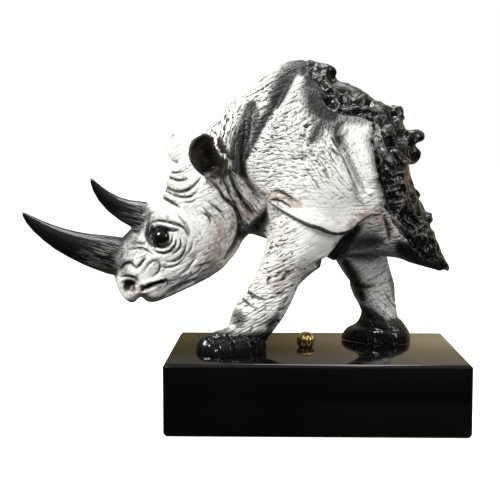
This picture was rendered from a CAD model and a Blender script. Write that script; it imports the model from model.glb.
"""Rhinoceros figurine: glazed porcelain, half an animal with a torn black edge, on a black block with a brass stud.

Metres, +Z up. The animal looks along -X and shows its left side to -Y.
"""

import math

import bmesh
import bpy
import numpy as np
from mathutils import Euler, Matrix, Vector, noise
from mathutils.kdtree import KDTree


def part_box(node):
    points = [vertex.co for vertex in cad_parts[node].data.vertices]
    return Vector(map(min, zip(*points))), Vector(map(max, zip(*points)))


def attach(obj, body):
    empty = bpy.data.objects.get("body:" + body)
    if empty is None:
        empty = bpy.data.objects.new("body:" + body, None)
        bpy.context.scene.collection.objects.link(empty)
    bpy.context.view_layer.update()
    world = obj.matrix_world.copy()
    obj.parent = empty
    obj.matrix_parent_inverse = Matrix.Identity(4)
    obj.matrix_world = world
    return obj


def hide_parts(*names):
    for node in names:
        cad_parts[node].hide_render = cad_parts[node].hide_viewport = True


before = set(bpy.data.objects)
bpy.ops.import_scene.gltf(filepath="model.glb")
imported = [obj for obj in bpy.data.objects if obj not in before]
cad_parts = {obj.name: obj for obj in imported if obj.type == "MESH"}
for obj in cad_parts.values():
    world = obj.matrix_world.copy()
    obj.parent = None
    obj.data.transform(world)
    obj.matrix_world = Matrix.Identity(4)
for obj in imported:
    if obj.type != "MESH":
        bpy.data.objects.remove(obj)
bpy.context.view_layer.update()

# The plinth
# A block of lacquered wood board, sanded flat and polished. A narrow chamfer runs round its top and bottom
# and up its corners, and the polish has rounded every arris a little.
PLINTH_CHAMFER = 0.003
ARRIS_ROUNDING = 0.0004


def finished_object(bm, name):
    """Writes a modelled piece to an object at the origin, shaded smooth except across sharp edges."""
    mesh = bpy.data.meshes.new(name)
    bm.to_mesh(mesh)
    bm.free()
    mesh.shade_smooth()
    mesh.set_sharp_from_angle(angle=math.radians(40))
    made = bpy.data.objects.new(name, mesh)
    bpy.context.scene.collection.objects.link(made)
    return made


def linear(hex_colour):
    """A colour written as sRGB hex, as the linear values that shaders take."""
    parts = [int(hex_colour[i : i + 2], 16) / 255 for i in (0, 2, 4)]
    return (*(c / 12.92 if c <= 0.04045 else ((c + 0.055) / 1.055) ** 2.4 for c in parts), 1.0)


def new_material(name):
    made = bpy.data.materials.new(name)
    made.use_nodes = True
    return made, made.node_tree.nodes["Principled BSDF"]


def add_node(material, kind, links=None, **settings):
    """Adds a node, sets its properties and unlinked inputs, and links its other inputs."""
    node = material.node_tree.nodes.new(kind)
    for name, value in settings.items():
        setattr(node, name, value)
    for name, source in (links or {}).items():
        if isinstance(source, bpy.types.NodeSocket):
            material.node_tree.links.new(source, node.inputs[name])
        else:
            node.inputs[name].default_value = source
    return node


def black_lacquer():
    """Piano lacquer over board: deep black, mirror smooth, with a faint ripple left by the polishing wheel."""
    made, shader = new_material("black_lacquer")
    place = add_node(made, "ShaderNodeTexCoord")
    ripple = add_node(
        made, "ShaderNodeTexNoise", {"Vector": place.outputs["Object"], "Scale": 35.0, "Detail": 2.0}
    )
    haze = add_node(
        made, "ShaderNodeTexNoise", {"Vector": place.outputs["Object"], "Scale": 9.0, "Detail": 3.0}
    )
    tone = add_node(
        made,
        "ShaderNodeMix",
        {"Factor": haze.outputs["Fac"], "A": linear("050505"), "B": linear("0B0B0A")},
        data_type="RGBA",
    )
    gloss = add_node(
        made,
        "ShaderNodeMapRange",
        {"Value": haze.outputs["Fac"], "From Min": 0.3, "From Max": 0.7, "To Min": 0.035, "To Max": 0.075},
    )
    wave = add_node(
        made, "ShaderNodeBump", {"Height": ripple.outputs["Fac"], "Strength": 0.03, "Distance": 0.0004}
    )
    made.node_tree.links.new(tone.outputs["Result"], shader.inputs["Base Color"])
    made.node_tree.links.new(gloss.outputs["Result"], shader.inputs["Roughness"])
    made.node_tree.links.new(wave.outputs["Normal"], shader.inputs["Normal"])
    shader.inputs["IOR"].default_value = 1.5
    return made


def make_plinth():
    low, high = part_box("plinth")
    bm = bmesh.new()
    bmesh.ops.create_cube(bm, size=1.0)
    bmesh.ops.scale(bm, vec=high - low, verts=bm.verts)
    bmesh.ops.translate(bm, vec=(low + high) / 2, verts=bm.verts)
    bmesh.ops.bevel(
        bm, geom=bm.edges[:], offset=PLINTH_CHAMFER, affect="EDGES", segments=1, profile=0.5, material=-1
    )
    bmesh.ops.bevel(
        bm, geom=bm.edges[:], offset=ARRIS_ROUNDING, affect="EDGES", segments=2, profile=0.5, material=-1
    )
    made = finished_object(bm, "lacquered_plinth")
    made.data.materials.append(black_lacquer())
    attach(made, "root")
    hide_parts("plinth")
    return made


make_plinth()

# The figure: its bulk
# The animal is modelled in hundredths of its own height, measured from the middle of the plinth's top face,
# with its head straight ahead. Rings along the spine and down the legs are joined, fused and rounded.
PLINTH_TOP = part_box("plinth")[1].z
FIGURE_HEIGHT = 0.300
FIGURE_Y = 0.003
FOOT_GAP = 0.0003
UNIT = FIGURE_HEIGHT / 100
BULK_VOXEL = 1.0
BULK_ROUNDING = 14
RING_SIDES = 48

# Torso rings: x, top, bottom, half width.
TORSO = (
    (-27.4, 81.5, 42.9, 12.7),
    (-22.5, 91.0, 39.8, 16.7),
    (-16.2, 95.8, 37.7, 19.3),
    (-9.2, 99.2, 34.3, 21.3),
    (-3.0, 100.6, 31.5, 22.3),
    (3.6, 98.6, 30.8, 22.7),
    (10.0, 92.6, 31.2, 22.2),
    (16.5, 89.4, 31.5, 21.0),
    (22.5, 86.0, 31.9, 19.3),
    (28.0, 83.2, 31.5, 16.4),
    (31.0, 77.0, 30.8, 13.8),
    (32.4, 62.0, 29.8, 10.6),
    (36.8, 52.5, 28.6, 7.6),
    (41.5, 41.5, 27.2, 4.6),
    (44.6, 33.0, 26.2, 2.6),
    (47.6, 28.2, 25.6, 1.2),
)
TORSO_CREST = 0.18

# Neck and head rings: x, z, fall of the spine in degrees, reach above, reach below, half width.
HEAD = (
    (-10.2, 63.7, 0, 29.0, 26.0, 19.0),
    (-20.7, 63.7, 14, 24.8, 23.7, 18.0),
    (-28.8, 61.2, 30, 17.6, 23.0, 16.5),
    (-35.1, 56.4, 41, 15.6, 20.8, 15.0),
    (-40.0, 51.6, 49, 14.4, 19.4, 14.2),
    (-44.2, 46.4, 51, 11.3, 20.6, 13.6),
    (-48.4, 41.2, 51, 11.1, 21.0, 12.8),
    (-52.6, 36.0, 51, 12.6, 18.8, 11.6),
    (-56.8, 30.8, 51, 13.6, 15.4, 10.2),
    (-60.3, 26.7, 51, 12.8, 12.6, 9.2),
    (-63.1, 23.2, 51, 9.4, 10.0, 8.4),
    (-65.2, 20.5, 51, 6.0, 6.5, 6.6),
    (-66.4, 18.9, 51, 3.0, 3.0, 3.6),
)
HEAD_CREST = 0.12

# Leg rings: x, z, y, lean of the limb from upright in degrees, reach along X, half width.
NEAR_LEG = (
    (0.9, 52.0, -10.5, -20, 15.0, 9.5),
    (-3.2, 43.5, -11.0, -27, 13.2, 10.3),
    (-8.4, 34.5, -11.0, -30, 10.9, 9.8),
    (-13.8, 27.4, -10.8, -35, 7.9, 8.6),
    (-16.8, 21.2, -10.6, -35, 7.8, 7.9),
    (-20.2, 15.4, -10.4, -38, 8.0, 7.4),
    (-24.2, 10.4, -10.3, -38, 8.0, 7.3),
    (-26.2, 5.9, -10.3, -25, 7.0, 7.6),
    (-28.4, 1.0, -10.3, 0, 9.0, 8.4),
)
FAR_LEG = (
    (12.0, 48.0, 10.5, 10, 13.5, 9.5),
    (16.2, 36.8, 11.3, 14, 11.2, 9.8),
    (18.4, 28.3, 11.8, 16, 8.6, 8.6),
    (20.8, 23.3, 12.0, 14, 7.6, 7.9),
    (21.9, 19.0, 12.0, 12, 7.9, 7.9),
    (23.2, 14.7, 12.0, 8, 6.6, 7.4),
    (24.3, 10.5, 12.0, 2, 6.2, 7.3),
    (24.0, 5.5, 12.0, 0, 7.6, 7.9),
)

# Lips: x, y, z, radius.
LIPS = (
    (-64.2, 2.2, 20.2, 3.7),
    (-64.2, -2.2, 20.2, 3.7),
    (-56.2, 2.4, 21.2, 4.2),
    (-56.2, -2.4, 21.2, 4.2),
)

ACROSS = Vector((0, 1, 0))
UP = Vector((0, 0, 1))


def add_ring(bm, centre, side, up, reach_up, reach_down, half_width, crest=0.0):
    """A closed outline round centre. crest narrows its upper half towards the top."""
    made = bmesh.ops.create_circle(bm, segments=RING_SIDES, radius=1.0)
    for vert in made["verts"]:
        across, height = vert.co.x, vert.co.y
        reach = reach_up if height > 0 else reach_down
        width = half_width * (1.0 - crest * max(0.0, height) ** 2)
        vert.co = centre + side * (across * width) + up * (height * reach)
    return list({edge for vert in made["verts"] for edge in vert.link_edges})


def join_rings(bm, rings):
    """Joins the rings one after the other, and closes both ends."""
    for first, second in zip(rings, rings[1:]):
        bmesh.ops.bridge_loops(bm, edges=first + second)
    for end in (rings[0], rings[-1]):
        bmesh.ops.edgeloop_fill(bm, edges=end)


def add_torso(bm):
    rings = []
    for x, top, bottom, half_width in TORSO:
        middle = bottom + 0.47 * (top - bottom)
        centre = Vector((x, 0, middle))
        rings.append(add_ring(bm, centre, ACROSS, UP, top - middle, middle - bottom, half_width, TORSO_CREST))
    join_rings(bm, rings)


def add_head(bm):
    rings = []
    for x, z, fall, above, below, half_width in HEAD:
        slope = math.radians(fall)
        up = Vector((-math.sin(slope), 0, math.cos(slope)))
        rings.append(add_ring(bm, Vector((x, 0, z)), ACROSS, up, above, below, half_width, HEAD_CREST))
    join_rings(bm, rings)


def add_leg(bm, leg):
    rings = []
    for x, z, y, lean, reach, half_width in leg:
        tilt = math.radians(lean)
        front = Vector((-math.cos(tilt), 0, -math.sin(tilt)))
        rings.append(add_ring(bm, Vector((x, y, z)), ACROSS, front, reach, reach, half_width))
    join_rings(bm, rings)


def add_balls(bm, balls):
    for x, y, z, radius in balls:
        bmesh.ops.create_icosphere(bm, subdivisions=3, radius=radius, matrix=Matrix.Translation((x, y, z)))


def evaluated(mesh, *modifiers):
    """The mesh after some modifiers, each given as its kind and its settings."""
    holder = bpy.data.objects.new("clay", mesh)
    bpy.context.scene.collection.objects.link(holder)
    for kind, settings in modifiers:
        modifier = holder.modifiers.new(kind, kind)
        for name, value in settings.items():
            setattr(modifier, name, value)
    graph = bpy.context.evaluated_depsgraph_get()
    made = bpy.data.meshes.new_from_object(holder.evaluated_get(graph))
    bpy.data.objects.remove(holder)
    bpy.data.meshes.remove(mesh)
    return made


def fused(bm, voxel, rounding):
    """Fuses overlapping closed shapes into one skin, and rounds the joints between them."""
    mesh = bpy.data.meshes.new("shapes")
    bm.to_mesh(mesh)
    bm.free()
    modifiers = [("REMESH", {"mode": "VOXEL", "voxel_size": voxel})]
    if rounding:
        modifiers.append(("SMOOTH", {"factor": 0.5, "iterations": rounding}))
    return evaluated(mesh, *modifiers)


def bulk():
    bm = bmesh.new()
    add_torso(bm)
    add_head(bm)
    add_leg(bm, NEAR_LEG)
    add_leg(bm, FAR_LEG)
    add_balls(bm, LIPS)
    bmesh.ops.recalc_face_normals(bm, faces=bm.faces)
    return fused(bm, BULK_VOXEL, BULK_ROUNDING)


# The figure: feet, horns, ears and the lumps of the torn edge
# Each is set into the bulk and fused with it, so the casting has no joints.
FORM_VOXEL = 0.36
FORM_ROUNDING = 3

# Foot rings: height, reach along X, half width, shift backwards.
FOOT = (
    (-3.0, 10.6, 9.2, 0.0),
    (0.8, 11.3, 9.7, 0.0),
    (2.8, 11.0, 9.6, 0.4),
    (4.6, 9.8, 8.9, 1.2),
    (6.4, 8.2, 8.0, 2.4),
    (8.2, 6.4, 7.0, 3.6),
)
# Where each foot stands, x and y, how much of that shift it takes, and how far its toes reach.
NEAR_FOOT_AT = (-30.4, -10.3, 1.0, 1.06)
FAR_FOOT_AT = (24.2, 12.2, 0.3, 0.78)

# Hooves and instep: turn from straight ahead in degrees, distance from the foot's middle, half width, height.
HOOVES = ((-52, 7.6, 3.9, 4.6), (0, 8.6, 4.4, 5.2), (52, 7.6, 3.9, 4.6), (0, 4.6, 5.0, 6.8))

# Horn rings: x, z, radius.
FRONT_HORN = (
    (-65.9, 32.2, 6.6),
    (-71.0, 33.2, 6.6),
    (-75.6, 34.4, 6.0),
    (-79.3, 35.4, 5.4),
    (-84.0, 37.1, 4.6),
    (-88.3, 39.0, 3.9),
    (-92.2, 41.2, 3.1),
    (-95.5, 43.4, 2.4),
    (-98.2, 45.6, 1.6),
    (-99.8, 47.2, 0.9),
    (-100.7, 48.2, 0.35),
)
REAR_HORN = (
    (-57.5, 45.5, 5.4),
    (-62.2, 46.9, 4.8),
    (-66.4, 48.4, 3.9),
    (-70.3, 50.6, 3.1),
    (-73.4, 53.2, 2.4),
    (-75.8, 56.0, 1.6),
    (-77.2, 58.2, 0.9),
    (-77.9, 59.4, 0.35),
)
HORN_FLATTEN = 0.86

# Ears: foot, way to the tip, way the cup opens, length, and share of full girth.
LEFT_EAR = ((-36.8, -13.4, 61.6), (0.08, -0.2, 0.97), (-0.34, -0.93, -0.14), 12.2, 1.0)
RIGHT_EAR = ((-40.2, 8.4, 68.0), (-0.85, 0.1, 0.52), (-0.35, 0.75, -0.55), 10.0, 0.5)
# Each row of the ear's shell: share of the length, radius of the curl, half of its opening in degrees.
EAR_ROWS = (
    (-0.25, 2.0, 150),
    (0.0, 3.8, 135),
    (0.18, 6.0, 118),
    (0.4, 7.6, 104),
    (0.6, 7.8, 96),
    (0.78, 6.8, 90),
    (0.92, 4.8, 84),
    (1.0, 2.4, 76),
)
EAR_WALL = 1.2
EAR_COLUMNS = 28

# Lumps that stand out on the torn edge: x, y, z, radius.
TORN_LUMPS = (
    (4.6, -3.0, 94.6, 3.6),
    (14.8, -3.0, 86.6, 3.0),
    (27.2, -4.0, 80.8, 3.6),
    (31.4, -4.0, 72.8, 3.0),
    (33.6, -4.0, 73.4, 2.5),
    (35.4, -4.0, 74.0, 2.3),
    (32.8, -3.0, 67.6, 3.6),
    (33.6, -1.0, 53.2, 3.2),
    (38.2, -1.0, 45.4, 3.0),
    (38.6, 0.0, 40.4, 2.6),
    (38.2, 0.0, 35.4, 2.8),
    (40.6, 0.0, 31.6, 2.4),
)


def add_foot(bm, at):
    rings = []
    for height, reach, half_width, shift in FOOT:
        centre = Vector((at[0] + at[2] * shift, at[1], height))
        rings.append(add_ring(bm, centre, ACROSS, Vector((-1, 0, 0)), reach, reach, half_width))
    join_rings(bm, rings)
    for turn, distance, half_width, height in HOOVES:
        swing = math.radians(turn)
        distance *= at[3]
        x, y = at[0] - distance * math.cos(swing), at[1] - distance * math.sin(swing)
        shape = Matrix.LocRotScale(Vector((x, y, 1.0)), None, Vector((half_width, half_width, height)))
        bmesh.ops.create_uvsphere(bm, u_segments=32, v_segments=20, radius=1.0, matrix=shape)


def add_horn(bm, horn):
    rings = []
    for i, (x, z, radius) in enumerate(horn):
        before, after = horn[max(i - 1, 0)], horn[min(i + 1, len(horn) - 1)]
        along = Vector((after[0] - before[0], 0, after[1] - before[1])).normalized()
        up = Vector((-along.z, 0, along.x))
        rings.append(add_ring(bm, Vector((x, 0, z)), ACROSS, up, radius, radius, radius * HORN_FLATTEN))
    join_rings(bm, rings)


def ear_frame(ear):
    """The ear's three ways: to its tip, across it, and out of its cup."""
    tipwards = Vector(ear[1]).normalized()
    across = tipwards.cross(Vector(ear[2])).normalized()
    return tipwards, across, across.cross(tipwards)


def add_ear(bm, ear):
    """A leaf of hide rolled into a cup: almost a tube at the foot, and open towards the tip."""
    tipwards, across, outwards = ear_frame(ear)
    leaf = bmesh.new()
    bmesh.ops.create_grid(leaf, x_segments=EAR_COLUMNS, y_segments=EAR_COLUMNS, size=1.0)
    shares, radii, openings = zip(*EAR_ROWS)
    for vert in leaf.verts:
        share = np.interp(vert.co.y, (-1, 1), (shares[0], shares[-1]))
        radius = ear[4] * np.interp(share, shares, radii)
        curl = math.radians(np.interp(share, shares, openings)) * vert.co.x
        back = Vector(ear[0]) + tipwards * (ear[3] * share)
        vert.co = back + across * (radius * math.sin(curl)) + outwards * (radius * (1 - math.cos(curl)))
    bmesh.ops.recalc_face_normals(leaf, faces=leaf.faces)
    bmesh.ops.solidify(leaf, geom=leaf.faces[:], thickness=EAR_WALL)
    shell = bpy.data.meshes.new("ear")
    leaf.to_mesh(shell)
    leaf.free()
    bm.from_mesh(shell)
    bpy.data.meshes.remove(shell)


def form():
    bm = bmesh.new()
    for foot in (NEAR_FOOT_AT, FAR_FOOT_AT):
        add_foot(bm, foot)
    for horn in (FRONT_HORN, REAR_HORN):
        add_horn(bm, horn)
    for ear in (LEFT_EAR, RIGHT_EAR):
        add_ear(bm, ear)
    add_balls(bm, TORN_LUMPS)
    bmesh.ops.recalc_face_normals(bm, faces=bm.faces)
    bm.from_mesh(bulk())
    return fused(bm, FORM_VOXEL, FORM_ROUNDING)


# The figure: carving
# Folds, lids, lips and hollows are modelled as strokes on the side view, the same on both sides of the animal
# unless a stroke says otherwise. Each stroke gives half width, depth, how much wash it holds, and x, z points.
CREASES = {
    "brow": (0.6, 1.0, 1.0, ((-59.4, 41.5), (-58.5, 44.0), (-55.7, 45.2), (-51.7, 44.4), (-48.4, 43.0), (-46.2, 39.1))),
    "lash": (0.45, 0.7, 1.0, ((-58.6, 40.2), (-57.6, 41.9), (-55.7, 42.7), (-53.9, 42.3), (-52.0, 41.8), (-49.6, 42.2))),
    "lower_lid": (0.5, 0.6, 1.0, ((-58.3, 37.8), (-56.3, 36.5), (-54.4, 36.4), (-52.8, 37.5), (-51.9, 39.2), (-52.2, 41.0))),
    "under_eye": (0.5, 0.6, 1.0, ((-58.5, 36.0), (-56.3, 34.6), (-53.9, 34.6), (-51.9, 36.0), (-50.8, 38.0), (-50.9, 40.0))),
    "eye_bag": (0.5, 0.5, 0.9, ((-54.8, 31.9), (-52.0, 31.5), (-49.4, 32.8), (-47.9, 35.3), (-47.3, 38.4))),
    "eye_ring_1": (0.45, 0.5, 0.9, ((-52.2, 33.8), (-50.2, 35.3), (-49.2, 37.3), (-49.5, 39.9))),
    "eye_ring_2": (0.45, 0.4, 0.8, ((-56.8, 30.2), (-53.4, 29.6), (-50.0, 30.6), (-47.2, 33.2))),
    "eye_ring_3": (0.45, 0.4, 0.5, ((-48.0, 32.6), (-45.8, 36.0), (-45.2, 39.4))),
    "cheek_1": (0.45, 0.4, 0.6, ((-42.6, 50.6), (-40.0, 47.6), (-37.4, 45.4))),
    "cheek_2": (0.45, 0.4, 0.6, ((-39.0, 50.8), (-36.0, 48.0), (-33.6, 44.6))),
    "jowl_1": (0.5, 0.5, 0.7, ((-49.6, 27.0), (-46.4, 29.6), (-43.6, 33.4))),
    "jowl_2": (0.5, 0.5, 0.6, ((-46.0, 25.6), (-42.8, 28.2), (-40.2, 31.6))),
    "temple": (0.7, 0.7, 0.5, ((-50.6, 48.5), (-49.2, 46.0), (-47.2, 43.4), (-46.0, 39.0))),
    "forehead_1": (0.55, 0.6, 0.8, ((-53.0, 62.2), (-49.5, 61.2), (-46.0, 62.4))),
    "forehead_2": (0.6, 0.7, 0.9, ((-52.5, 60.6), (-49.2, 58.7), (-45.6, 59.4))),
    "forehead_3": (0.7, 0.9, 1.0, ((-54.0, 58.4), (-50.6, 55.2), (-47.3, 55.2), (-44.0, 57.5), (-41.6, 60.2))),
    "forehead_4": (0.6, 0.8, 1.0, ((-53.5, 55.8), (-50.0, 53.5), (-46.0, 53.3), (-43.2, 55.6))),
    "forehead_5": (0.7, 0.9, 1.0, ((-54.6, 53.8), (-52.2, 51.9), (-48.8, 49.4))),
    "forehead_6": (0.5, 0.5, 0.7, ((-48.4, 51.6), (-46.0, 51.4), (-43.8, 52.8))),
    "bridge_1": (0.5, 0.6, 0.9, ((-65.4, 35.3), (-63.0, 36.0), (-60.8, 35.7), (-57.8, 33.8))),
    "bridge_2": (0.5, 0.5, 0.9, ((-65.2, 37.2), (-62.8, 37.7), (-60.2, 36.9))),
    "nose_arch": (0.6, 0.8, 1.0, ((-69.0, 28.4), (-67.2, 30.6), (-65.2, 31.0), (-63.6, 29.1))),
    "nose_wing": (0.6, 0.7, 1.0, ((-63.8, 28.9), (-62.2, 31.0), (-60.4, 33.4))),
    "nostril_fold": (0.6, 0.7, 0.8, ((-69.2, 26.0), (-67.0, 26.6), (-64.6, 26.2), (-62.4, 24.6))),
    "mouth": (0.55, 1.5, 1.0, ((-61.8, 21.6), (-60.2, 22.8), (-58.4, 23.8), (-56.1, 24.6), (-53.4, 24.9))),
    "mouth_corner": (0.45, 0.5, 0.6, ((-54.6, 25.8), (-53.2, 24.4), (-53.6, 22.4))),
    "cheek_pad": (0.5, 0.5, 0.7, ((-61.4, 27.2), (-60.2, 30.2), (-57.6, 32.0), (-56.0, 30.5), (-56.7, 28.0), (-59.6, 25.6))),
    "chin": (0.8, 0.8, 0.8, ((-54.0, 19.4), (-51.0, 21.2), (-47.0, 23.4), (-42.5, 24.8))),
    "jaw_nick": (0.6, 0.5, 0.7, ((-44.4, 29.4), (-41.5, 30.4), (-39.0, 30.8))),
    "cheek": (0.6, 0.8, 0.7, ((-42.6, 47.9), (-40.2, 46.8), (-39.0, 44.0))),
    "cheek_line": (0.5, 0.5, 0.8, ((-40.6, 52.0), (-37.5, 49.5), (-34.2, 47.3))),
    "jaw_back": (1.3, 1.9, 0.8, ((-31.5, 51.5), (-29.2, 47.4), (-28.0, 42.5), (-29.5, 37.5), (-33.0, 33.0))),
    "neck_1": (0.8, 1.2, 1.0, ((-40.4, 60.4), (-36.5, 56.5), (-34.0, 52.5), (-30.0, 49.5), (-27.5, 45.5), (-26.0, 42.0))),
    "neck_2": (0.9, 1.2, 0.9, ((-31.4, 63.4), (-30.0, 57.4), (-28.0, 53.6), (-26.0, 50.4), (-22.4, 46.6))),
    "neck_3": (0.7, 0.9, 0.7, ((-36.0, 61.6), (-33.0, 57.0), (-31.6, 53.0), (-28.6, 50.0))),
    "neck_back": (1.4, 2.0, 0.8, ((-23.0, 80.0), (-24.5, 70.0), (-25.0, 61.0), (-21.5, 54.5), (-17.0, 51.5))),
    "throat": (1.0, 1.2, 0.8, ((-28.0, 41.5), (-25.0, 42.5), (-21.5, 44.0), (-18.5, 47.5), (-17.2, 51.5))),
    "hump_valley": (2.2, 2.0, 0.0, ((-2.0, 98.5), (-7.4, 95.5), (-10.4, 90.8), (-13.0, 85.5), (-17.0, 78.6), (-21.0, 71.0))),
    "flank_hollow": (2.3, 3.2, 0.0, ((7.6, 73.4), (9.5, 70.0), (11.5, 64.5), (14.0, 59.0), (16.4, 54.2))),
    "flank_line": (0.6, 0.8, 0.6, ((6.0, 70.0), (8.6, 66.0), (11.0, 60.5), (13.6, 54.5))),
    "rib_hollow": (1.2, 1.6, 0.5, ((7.6, 77.8), (6.5, 73.0), (8.8, 67.6))),
    "rib_wrinkle_1": (0.5, 0.6, 0.9, ((3.6, 71.0), (5.6, 68.2), (8.0, 66.4))),
    "rib_wrinkle_2": (0.5, 0.6, 0.9, ((4.4, 73.2), (6.0, 70.4), (8.2, 68.0))),
    "pinch_1": (0.6, 0.8, 0.8, ((-17.0, 53.4), (-13.5, 55.2), (-10.0, 54.0), (-6.0, 51.2))),
    "pinch_2": (0.5, 0.6, 0.7, ((-16.4, 52.4), (-12.0, 52.0), (-8.0, 49.6))),
    "belly": (0.7, 0.8, 0.3, ((5.5, 33.6), (12.5, 31.6), (19.5, 32.2), (25.0, 33.2))),
    "behind_leg": (1.1, 1.6, 0.0, ((12.8, 41.4), (6.2, 33.8), (1.6, 29.2))),
    "elbow": (0.8, 0.9, 0.7, ((-1.5, 30.0), (1.5, 31.5), (4.5, 32.6))),
    "loin": (0.9, 0.9, 0.8, ((22.0, 47.5), (24.2, 42.5), (25.0, 37.0))),
    "near_wrist_1": (0.7, 0.7, 1.0, ((-28.6, 22.4), (-25.6, 20.4), (-23.6, 19.0), (-20.6, 18.6))),
    "near_wrist_2": (0.6, 0.6, 0.9, ((-28.6, 19.4), (-26.4, 16.8), (-24.4, 15.8))),
    "near_toe_1": (0.45, 0.9, 0.3, ((-39.0, 4.4), (-38.2, 2.4), (-38.0, -0.6))),
    "near_toe_2": (0.5, 1.1, 0.3, ((-35.0, 6.6), (-33.2, 3.8), (-32.8, -0.6))),
    "near_toe_3": (0.5, 0.9, 0.3, ((-27.6, 6.0), (-26.0, 3.4), (-26.0, -0.6))),
    "near_hoof_rim": (0.6, 0.4, 0.3, ((-38.0, 5.2), (-34.4, 5.8), (-30.0, 6.4), (-24.0, 5.4), (-20.0, 4.6))),
    "far_toe_1": (0.45, 0.7, 0.3, ((15.6, 3.4), (15.9, 2.0), (15.6, -0.6))),
    "far_toe_2": (0.5, 0.8, 0.3, ((20.2, 3.8), (20.8, 2.2), (20.8, -0.6))),
    "far_toe_3": (0.5, 0.7, 0.3, ((28.2, 3.4), (28.0, 2.0), (28.2, -0.6))),
    "far_hoof_rim": (0.6, 0.3, 0.2, ((14.0, 5.0), (18.0, 5.8), (24.0, 5.4), (31.0, 4.8))),
    "far_knee": (0.9, 0.9, 0.8, ((13.0, 23.0), (16.0, 20.9), (19.0, 20.6), (22.0, 21.6))),
}
CREASE_SWELL = 0.35

# Ridges: half width, height, points x, z.
RIDGES = {
    "upper_lid": (0.75, 1.5, ((-58.4, 42.2), (-57.2, 43.4), (-55.4, 43.9), (-52.6, 43.3), (-49.8, 42.9))),
    "lower_lid": (0.6, 0.8, ((-58.6, 37.0), (-56.3, 35.5), (-54.0, 35.5), (-52.2, 36.8), (-51.3, 38.8), (-51.4, 40.4))),
    "brow": (1.5, 1.0, ((-61.6, 43.6), (-58.6, 47.2), (-54.8, 48.0), (-50.6, 46.8))),
    "upper_lip": (0.9, 1.1, ((-62.4, 23.6), (-59.6, 25.2), (-56.4, 26.0), (-53.6, 26.8))),
    "nose": (1.4, 0.8, ((-67.6, 28.4), (-65.4, 28.2), (-63.4, 26.8))),
    "jaw": (2.4, 1.0, ((-54.0, 27.0), (-47.0, 28.0), (-40.0, 31.5))),
    "shoulder_blade": (4.5, 1.4, ((-5.0, 90.0), (-8.0, 78.0), (-6.0, 66.0))),
    "valley_side": (1.6, 1.3, ((1.0, 96.4), (-4.4, 92.0), (-8.0, 86.2), (-11.4, 80.4), (-15.4, 73.0), (-19.0, 66.0))),
    "neck_fold": (1.5, 0.9, ((-29.0, 62.0), (-27.4, 56.0), (-24.4, 50.6), (-21.0, 48.0))),
    "rib": (2.2, 0.9, ((12.0, 74.0), (15.2, 66.0), (17.6, 58.0))),
    "forearm": (3.4, 1.0, ((-4.0, 38.0), (-10.0, 30.0))),
    "tendon": (1.2, 0.5, ((-11.5, 24.0), (-17.0, 16.5), (-21.0, 10.0))),
    "pinch": (1.2, 0.8, ((-16.6, 54.4), (-12.0, 53.6), (-6.5, 50.4))),
}

# Broad swellings and hollows: x, z, radius, height.
MASSES = {
    "cheek": (-37.0, 39.5, 6.5, 1.4),
    "jaw_angle": (-38.0, 33.0, 4.5, 0.8),
    "temple": (-45.5, 47.5, 3.2, -0.8),
    "muzzle": (-59.5, 30.0, 3.0, 0.6),
    "lower_lip": (-57.2, 20.8, 2.4, 1.7),
    "ear_root": (-38.0, 59.0, 4.0, -0.8),
    "neck": (-31.0, 70.0, 5.0, -1.4),
    "upper_arm": (0.0, 52.0, 9.0, 1.2),
    "flank": (20.0, 60.0, 4.0, 0.6),
    "wrist": (-24.5, 13.5, 3.4, 0.6),
    "far_wrist": (20.0, 17.0, 3.4, 0.8),
    "under_belly": (17.0, 38.0, 6.0, -1.6),
}

# Pits: x, z, radius, depth, height of the rim round them.
PITS = {
    "nostril": (-65.6, 23.4, 2.2, 2.6, 0.3),
    "eye_socket": (-55.1, 39.7, 3.8, 1.5, 0.0),
    "eye_corner": (-58.9, 40.6, 1.5, 1.5, 0.0),
    "lip_dimple": (-61.6, 22.8, 1.0, 0.9, 0.2),
    "lip_notch": (-61.2, 17.6, 1.7, 2.4, 0.0),
}

# The shoulder's hide hangs over the foreleg: points x, z along the hem on the left and on the right.
LEFT_DRAPE = (
    (-17.8, 52.6),
    (-11.6, 48.4),
    (-3.6, 44.4),
    (0.4, 43.2),
    (3.5, 41.8),
    (7.2, 41.0),
    (11.2, 42.0),
    (14.0, 44.4),
    (17.6, 47.2),
    (21.6, 47.4),
)
RIGHT_DRAPE = ((-8.0, 52.0), (-2.0, 46.5), (6.0, 41.5), (14.0, 39.0), (21.0, 40.5), (25.5, 44.5))
DRAPE_HEIGHT = 2.2
DRAPE_REACH = 5.0
DRAPE_UNDERCUT = 1.6
DRAPE_UNDERCUT_REACH = 2.6

# The edge of the hide on the flank, from the belly's point up to the hump: height, x.
HIDE_EDGE = (
    (26.7, 45.0),
    (30.8, 38.4),
    (36.3, 33.0),
    (40.8, 28.6),
    (45.5, 25.6),
    (50.5, 22.6),
    (58.8, 20.7),
    (68.6, 19.4),
    (72.4, 18.4),
    (78.2, 19.4),
    (79.8, 15.0),
    (80.6, 9.0),
    (81.6, 4.4),
    (84.0, 2.8),
    (89.4, 0.8),
    (93.0, -1.0),
    (100.0, -4.0),
)

# Eyeballs: x, y, z, radius.
EYEBALLS = ((-55.0, -8.4, 39.6, 3.3), (-55.0, 8.4, 39.6, 3.3))


def smoothstep(low, high, values):
    share = np.clip((values - low) / (high - low), 0, 1)
    return share * share * (3 - 2 * share)


def hump(distance, width):
    return np.exp(-((distance / width) ** 2))


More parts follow.
